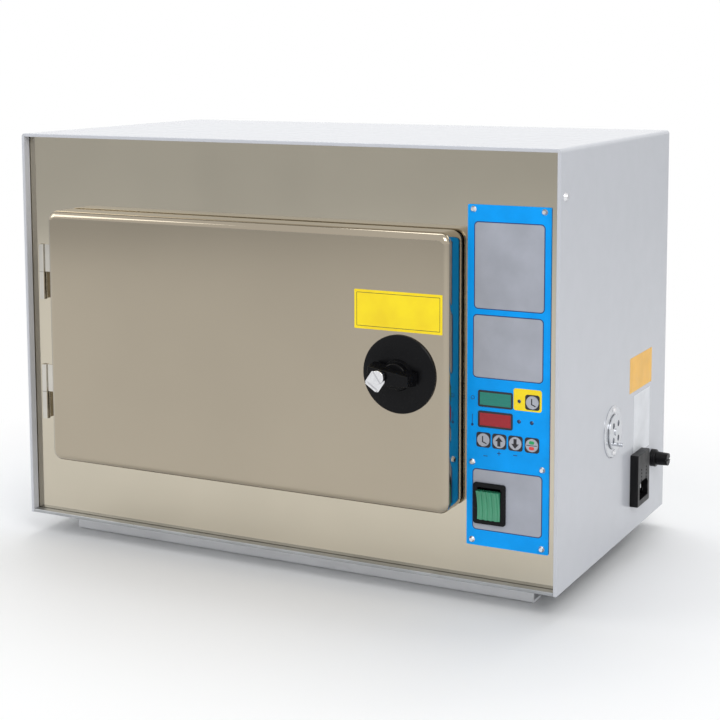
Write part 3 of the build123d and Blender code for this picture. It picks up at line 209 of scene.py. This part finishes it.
materials = {
    "cover_paint": plastic("cover_paint", linear(198, 200, 206),
                           (0.16, 0.22), 0.0008, 0.000002, (0.985, 1.01)),
    # The door is the same polished steel as the front panel, but painted darker and browner: painted shade
    # standing in for the darker reflection seen in the door
    "door_steel": steel("door_steel", linear(170, 160, 143),
                        (0.05, 0.10), (0.15, 1, 1), 0.000006, 0.05, 0.25),
    "mirror_steel": steel("mirror_steel", MIRROR, (0.05, 0.11), (0.15, 1, 1), 0.000006, 0.07, 0.22),
    "base_metal": steel("zinc_sheet", linear(168, 170, 172), (0.35, 0.5), (1, 1, 1), 0.00001, 0.12, 0.03),
    "rail_metal": paint("rail_paint", linear(246, 246, 248)),
    "chamber_steel": steel("chamber_steel", linear(190, 188, 184),
                           (0.22, 0.34), (1, 0.1, 1), 0.00002, 0.05, 0.1),
    "insulation": wool("mineral_wool", linear(206, 196, 160)),
    "heater_sheath": steel("heater_sheath", linear(96, 88, 84), (0.4, 0.55), (1, 1, 1), 0.00001, 0.2, 0.02),
    "tray_metal": steel("tray_aluminium", linear(205, 207, 209),
                        (0.28, 0.4), (0.1, 1, 1), 0.00002, 0.04, 0.08),
    "probe_metal": steel("probe_metal", linear(200, 200, 202), (0.12, 0.2)),
    "gasket_rubber": plastic("gasket_rubber", linear(20, 20, 21), (0.6, 0.75), 0.0006, 0.00004),
    "hinge_metal": steel("hinge_metal", linear(196, 192, 184),
                         (0.08, 0.16), (1, 1, 0.2), 0.000006, 0.05, 0.02),
    "bush_metal": steel("bush_brass", linear(196, 164, 92), (0.2, 0.3)),
    "spindle_metal": steel("spindle_steel", linear(176, 176, 178),
                           (0.2, 0.32), (1, 1, 1), 0.00001, 0.05, 0.01),
    "black_plastic": plastic("black_plastic", BLACK, (0.2, 0.3), 0.0005, 0.000012, Specular_IOR_Level=0.12),
    "screw_metal": steel("bright_zinc", linear(222, 222, 224),
                         (0.12, 0.22), (1, 1, 1), 0.000006, 0.06, 0.004),
    "fascia_print": plastic("azure_print", AZURE, (0.4, 0.5), 0.0005, 0.000008, Specular_IOR_Level=0.15),
    "board_green": plastic("circuit_board", linear(20, 84, 50), (0.3, 0.5), 0.0015, 0.00003),
    "display_green": glowing("green_display", linear(0, 128, 112), 0.05),
    "display_red": glowing("red_display", linear(160, 0, 24), 0.05),
    "lamp_plastic": plastic("lamp_lens", linear(20, 48, 92), (0.1, 0.2), 0.0005, 0.000006),
    "key_plastic": plastic("key_face", linear(172, 175, 184), (0.35, 0.45), 0.0004, 0.00001),
    "switch_black": plastic("switch_black", BLACK, (0.2, 0.32), 0.0005, 0.00001, Specular_IOR_Level=0.15),
    "rocker_green": plastic("rocker_green", linear(58, 150, 112),
                            (0.08, 0.16), 0.002, 0.00001, Coat_Weight=0.5),
    "cap_plastic": plastic("cap_plastic", BLACK, (0.3, 0.42), 0.0005, 0.00002, Specular_IOR_Level=0.2),
    "vent_metal": steel("vent_metal", linear(206, 208, 212), (0.16, 0.26), (1, 1, 1), 0.000006, 0.04, 0.01),
    "transformer_iron": plastic("varnished_iron", linear(70, 58, 46), (0.3, 0.5), 0.0008, 0.00005),
    "relay_plastic": plastic("relay_plastic", linear(40, 46, 70), (0.3, 0.4)),
    "terminal_plastic": plastic("terminal_plastic", linear(220, 214, 196), (0.35, 0.5)),
    "ink_blue": plastic("ink_blue", INK_BLUE, (0.3, 0.38)),
    "window_grey": plastic("window_grey", WINDOW_GREY, (0.3, 0.4), 0.0004, 0.000008),
    "label_yellow": plastic("label_yellow", YELLOW, (0.35, 0.45), 0.0006, 0.000006),
    "label_amber": plastic("label_amber", AMBER, (0.35, 0.45), 0.0006, 0.000006),
    "label_pale": plastic("label_pale", linear(226, 228, 232), (0.4, 0.5), 0.0006, 0.000006),
    "ink": plastic("ink", INK, (0.4, 0.5)),
    "stop_red": plastic("stop_red", linear(226, 66, 66), (0.35, 0.45)),
    "start_green": plastic("start_green", linear(22, 160, 92), (0.35, 0.45)),
}

for entry in frame["record"]["subparts"]:
    mesh = nodes[entry["node"]].data
    mesh.materials.clear()
    mesh.materials.append(materials[entry["material_slot"]])


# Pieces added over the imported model
def piece(name, mesh, body, material):
    made = bpy.data.objects.new(name, mesh)
    bpy.context.scene.collection.objects.link(made)
    mesh.materials.append(materials[material])
    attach(made, body)
    return made


def rounded(width, height, radius, steps=6):
    """Points of a rounded rectangle about the origin, counter-clockwise."""
    radius = max(radius, 0.01)
    points = []
    for centre_x, centre_y, start in ((1, 1, 0), (-1, 1, 90), (-1, -1, 180), (1, -1, 270)):
        for step in range(steps + 1):
            angle = math.radians(start + 90 * step / steps)
            points.append((centre_x * (width / 2 - radius) + radius * math.cos(angle),
                           centre_y * (height / 2 - radius) + radius * math.sin(angle)))
    return points


def circle(radius, steps=28):
    return [(radius * math.cos(2 * math.pi * i / steps), radius * math.sin(2 * math.pi * i / steps))
            for i in range(steps)]


class Face:
    """A flat place on the case: its origin and the directions of its width, height and outside."""

    def __init__(self, origin, across, up, out):
        self.origin, self.across, self.up, self.out = origin, Vector(across), Vector(up), Vector(out)

    def point(self, u, v, lift):
        return self.origin + (self.across * u + self.up * v + self.out * lift) * MM

    def plate(self, name, outlines, low, high, body, material):
        """Thin plate with one or more outlines, from one height above the face to another."""
        mesh = bpy.data.meshes.new(name)
        work = bmesh.new()
        for outline in outlines:
            base = [work.verts.new(self.point(u, v, low)) for u, v in outline]
            top = [work.verts.new(self.point(u, v, high)) for u, v in outline]
            work.faces.new(top)
            work.faces.new(base[::-1])
            for i in range(len(outline)):
                work.faces.new((base[i - 1], base[i], top[i], top[i - 1]))
        bmesh.ops.recalc_face_normals(work, faces=work.faces)
        work.to_mesh(mesh)
        work.free()
        return piece(name, mesh, body, material)

    def ring(self, name, outer, inner, low, high, body, material):
        """Thin plate with one hole; both outlines have the same number of points."""
        mesh = bpy.data.meshes.new(name)
        work = bmesh.new()
        loops = [[work.verts.new(self.point(u, v, lift)) for u, v in outline]
                 for outline, lift in ((outer, low), (outer, high), (inner, high), (inner, low))]
        for near, far in zip(loops, loops[1:] + loops[:1]):
            for i in range(len(near)):
                work.faces.new((near[i - 1], near[i], far[i], far[i - 1]))
        bmesh.ops.recalc_face_normals(work, faces=work.faces)
        work.to_mesh(mesh)
        work.free()
        return piece(name, mesh, body, material)


def moved(points, u, v, turn=0.0):
    """Points turned by some degrees and moved."""
    angle = math.radians(turn)
    return [(u + x * math.cos(angle) - y * math.sin(angle), v + x * math.sin(angle) + y * math.cos(angle))
            for x, y in points]


def bar(u0, v0, u1, v1, width):
    """Outline of a straight stroke."""
    along = Vector((u1 - u0, v1 - v0)).normalized() * (width / 2)
    side = Vector((-along.y, along.x))
    return [(u0 - side.x, v0 - side.y), (u1 - side.x, v1 - side.y), (u1 + side.x, v1 + side.y),
            (u0 + side.x, v0 + side.y)]


def between(u0, u1, v0, v1, radius):
    """Rounded rectangle given by its limits."""
    return moved(rounded(u1 - u0, v1 - v0, radius), (u0 + u1) / 2, (v0 + v1) / 2)


fascia_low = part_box("control_fascia")[0]
fascia_origin = Vector((corner.x, fascia_low.y, corner.z))
fascia = Face(fascia_origin, (1, 0, 0), (0, 0, 1), (0, -1, 0))
PRINT = 0.12

# Printed windows on the fascia, left blank
WINDOW_ROUND = 3.5
WINDOW_LINE = 0.8
windows = {
    "window_top": (445.5, 505.5, 224.3, 294.5),
    "window_middle": (444.8, 504.8, 168.5, 220.0),
}
for name, limits in windows.items():
    u0, u1, v0, v1 = limits
    fascia.plate(name + "_edge", [between(u0, u1, v0, v1, WINDOW_ROUND)], 0.0, PRINT, "case",
                 "ink_blue")
    inner = between(u0 + WINDOW_LINE, u1 - WINDOW_LINE, v0 + WINDOW_LINE, v1 - WINDOW_LINE, 2.8)
    fascia.plate(name, [inner], 0.0, 2 * PRINT, "case", "window_grey")

# The lowest window goes round the rocker switch
bezel_low, bezel_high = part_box("switch_body")
bezel_u = ((bezel_low.x + bezel_high.x) / 2 - corner.x) / MM
bezel_v = ((bezel_low.z + bezel_high.z) / 2 - corner.z) / MM
bezel_hole = moved(rounded(27.6, 33.6, 2.3), bezel_u, bezel_v)
for name, inset, height, material in (("window_power_edge", 0.0, PRINT, "ink_blue"),
                                      ("window_power", WINDOW_LINE, 2 * PRINT, "window_grey")):
    outline = between(445.0 + inset, 505.0 - inset, 43.5 + inset, 94.2 - inset, WINDOW_ROUND - inset)
    fascia.ring(name, outline, bezel_hole, 0.0, height, "case", material)

# Frames round the displays
FRAME_OUT, FRAME_IN = 1.3, 0.2
for name in ("time_display", "temperature_display"):
    low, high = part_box(name)
    u0, u1 = (low.x - corner.x) / MM, (high.x - corner.x) / MM
    v0, v1 = (low.z - corner.z) / MM, (high.z - corner.z) / MM
    fascia.ring(name + "_frame", between(u0 - FRAME_OUT, u1 + FRAME_OUT, v0 - FRAME_OUT, v1 + FRAME_OUT, 1.6),
                between(u0 + FRAME_IN, u1 - FRAME_IN, v0 + FRAME_IN, v1 - FRAME_IN, 0.5), 0.0, 0.42,
                "case", "ink")

# Yellow block, dark seats of the keys and the marks on their faces
KEY_HOLE = 5.5
SEAT_SIDE = 12.2


def key_centre(name):
    low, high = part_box(name)
    return ((low.x + high.x) / 2 - corner.x) / MM, ((low.z + high.z) / 2 - corner.z) / MM


def seat_hole(u, v):
    """Circle with as many points as a rounded rectangle."""
    return moved(circle(KEY_HOLE, 28), u, v)


select_u, select_v = key_centre("key_select")
fascia.ring("select_block", between(480.0, 503.8, 145.3, 163.0, 2.0), seat_hole(select_u, select_v),
            0.0, PRINT, "case", "label_yellow")
for name in ("key_select", "key_clock", "key_up", "key_down", "key_start"):
    u, v = key_centre(name)
    fascia.ring(name + "_seat", moved(rounded(SEAT_SIDE, SEAT_SIDE, 2.2), u, v), seat_hole(u, v),
                0.0, 2.5 * PRINT, "case", "ink")

KEY_TOP = (fascia_low.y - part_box("key_up")[0].y) / MM


def on_key(name, outlines, material="ink", tag="mark"):
    """Printed mark on the face of a key, in millimetres from the key's centre."""
    u, v = key_centre(name)
    fascia.plate(f"{name}_{tag}", [moved(outline, u, v) for outline in outlines], KEY_TOP, KEY_TOP + 0.08,
                 name + "_body", material)


hands = [bar(-0.4, -1.2, -0.4, 3.2, 0.9), bar(-0.8, -1.2, 3.0, -2.8, 0.9)]
arrow_head = [(3.2, 0.3), (0, 4.0), (-3.2, 0.3)]
arrow_shaft = [(-1.3, -3.8), (1.3, -3.8), (1.3, 0.4), (-1.3, 0.4)]
arrow = [arrow_head, arrow_shaft]
on_key("key_select", hands)
on_key("key_clock", hands)
on_key("key_up", arrow)
on_key("key_down", [moved(outline, 0, 0, 180) for outline in arrow])
on_key("key_start", [moved(rounded(4.4, 2.6, 1.2), 0, 2.3)], "start_green", "start")
on_key("key_start", [moved(rounded(4.4, 2.6, 1.2), 0, -2.3)], "stop_red", "stop")
on_key("key_start", [bar(-4.4, 0, 4.4, 0, 0.5)], "ink", "divider")

# Small generic marks printed beside the displays and under the keys
marks = [
    bar(444.6, 129.5, 444.6, 138.5, 0.5), moved(circle(1.1, 16), 444.6, 129.8),
    bar(454.4, 105.2, 458.0, 105.2, 0.5),
    bar(466.2, 108.4, 469.6, 108.4, 0.6), bar(467.9, 106.7, 467.9, 110.1, 0.6),
    bar(480.1, 108.4, 483.5, 108.4, 0.6),
]
fascia.plate("fascia_marks", marks, 0.0, PRINT, "case", "ink_blue")
fascia.ring("clock_mark", moved(circle(1.6, 20), 444.9, 152.0), moved(circle(1.2, 20), 444.9, 152.0),
            0.0, PRINT, "case", "ink_blue")

# Blank labels on the door and on the right side
LABEL = 0.15
door_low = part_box("door_skin")[0]
door_face = Face(Vector((corner.x, door_low.y, corner.z)), (1, 0, 0), (0, 0, 1), (0, -1, 0))
door_face.plate("door_label", [between(353.0, 431.0, 206.0, 238.0, 0.6)], 0.0, LABEL, "door",
                "label_yellow")
door_face.ring("door_label_line", between(355.0, 429.0, 208.2, 235.8, 0.5),
               between(355.4, 428.6, 208.6, 235.4, 0.4), LABEL - 0.01, LABEL + 0.02,
               "door", "ink")

right_face = Face(Vector((cover_high.x, corner.y, corner.z)), (0, 1, 0), (0, 0, 1), (1, 0, 0))
right_face.plate("side_label_amber", [between(181.0, 245.0, 127.0, 158.5, 0.6)], 0.0, LABEL, "case",
                 "label_amber")
right_face.plate("side_label_pale", [between(194.0, 241.0, 68.0, 123.0, 0.6)], 0.0, LABEL, "case",
                 "label_pale")

# Stage: a floor, a world and soft lights
floor_mesh = bpy.data.meshes.new("floor")
FLOOR_REACH = 12.0
floor_mesh.from_pydata([(-FLOOR_REACH, -FLOOR_REACH, 0), (FLOOR_REACH, -FLOOR_REACH, 0),
                        (FLOOR_REACH, FLOOR_REACH, 0), (-FLOOR_REACH, FLOOR_REACH, 0)], [], [(0, 1, 2, 3)])
floor = bpy.data.objects.new("floor", floor_mesh)
floor.location.z = -0.0004
bpy.context.scene.collection.objects.link(floor)
floor_shader = Shader("floor", Roughness=0.6, Base_Color=(0.93, 0.93, 0.93, 1))
FLOOR_DARK, FLOOR_LIGHT = (0.92, 0.92, 0.92, 1), (0.95, 0.95, 0.95, 1)
floor_shader.drive("Base Color", floor_shader.blend(floor_shader.noise(0.5), FLOOR_DARK, FLOOR_LIGHT))

# Away from the object the camera sees the floor as plain white; its shadow stays
WHITE_FROM, WHITE_AT = 0.38, 0.62
floor_tree = floor_shader.tree
place = floor_shader.node("ShaderNodeTexCoord").outputs["Object"]
distance = floor_tree.nodes.new("ShaderNodeVectorMath")
distance.operation = "LENGTH"
floor_tree.links.new(place, distance.inputs[0])
whiteness = floor_shader.ramp(distance.outputs["Value"], 0.0, 1.0, WHITE_FROM, WHITE_AT)
to_camera = floor_shader.node("ShaderNodeLightPath").outputs["Is Camera Ray"]
share = floor_tree.nodes.new("ShaderNodeMath")
share.operation = "MULTIPLY"
floor_tree.links.new(whiteness, share.inputs[0])
floor_tree.links.new(to_camera, share.inputs[1])
white = floor_shader.node("ShaderNodeEmission", Color=(1, 1, 1, 1), Strength=1.0)
mixed = floor_tree.nodes.new("ShaderNodeMixShader")
floor_tree.links.new(share.outputs[0], mixed.inputs[0])
floor_tree.links.new(floor_shader.surface.outputs[0], mixed.inputs[1])
floor_tree.links.new(white.outputs[0], mixed.inputs[2])
floor_tree.links.new(mixed.outputs[0], floor_tree.nodes["Material Output"].inputs["Surface"])
floor_mesh.materials.append(floor_shader.material)

world = bpy.data.worlds.new("studio")
bpy.context.scene.world = world
world.use_nodes = True
sky = world.node_tree
for node in list(sky.nodes):
    sky.nodes.remove(node)
output = sky.nodes.new("ShaderNodeOutputWorld")
light_path = sky.nodes.new("ShaderNodeLightPath")
seen = sky.nodes.new("ShaderNodeMath")
seen.operation = "MAXIMUM"
sky.links.new(light_path.outputs["Is Camera Ray"], seen.inputs[0])
sky.links.new(light_path.outputs["Is Glossy Ray"], seen.inputs[1])
seen_through = sky.nodes.new("ShaderNodeMath")
seen_through.operation = "MAXIMUM"
sky.links.new(seen.outputs[0], seen_through.inputs[0])
sky.links.new(light_path.outputs["Is Transmission Ray"], seen_through.inputs[1])
plain = sky.nodes.new("ShaderNodeBackground")
plain.inputs["Color"].default_value = (1, 1, 1, 1)
plain.inputs["Strength"].default_value = 1.0
lighting = sky.nodes.new("ShaderNodeBackground")
lighting.inputs["Color"].default_value = (0.96, 0.98, 1, 1)
lighting.inputs["Strength"].default_value = 0.55
choice = sky.nodes.new("ShaderNodeMixShader")
sky.links.new(seen_through.outputs[0], choice.inputs[0])
sky.links.new(lighting.outputs[0], choice.inputs[1])
sky.links.new(plain.outputs[0], choice.inputs[2])
sky.links.new(choice.outputs[0], output.inputs["Surface"])


def softbox(name, place, target, size, power):
    """Large soft area light aimed at a point."""
    data = bpy.data.lights.new(name, "AREA")
    data.shape = "RECTANGLE"
    data.size, data.size_y = size
    data.energy = power
    made = bpy.data.objects.new(name, data)
    bpy.context.scene.collection.objects.link(made)
    made.location = place
    made.rotation_euler = (Vector(target) - Vector(place)).to_track_quat("-Z", "Y").to_euler()
    return made


centre = (0, 0, 0.2)
softbox("key_light", (1.6, -1.6, 1.9), centre, (1.4, 1.4), 26)
softbox("fill_light", (-1.8, -1.2, 1.2), centre, (1.2, 1.2), 10)
softbox("top_light", (-0.2, 0.6, 2.2), centre, (1.6, 1.2), 18)

bpy.context.scene.view_settings.view_transform = "Standard"
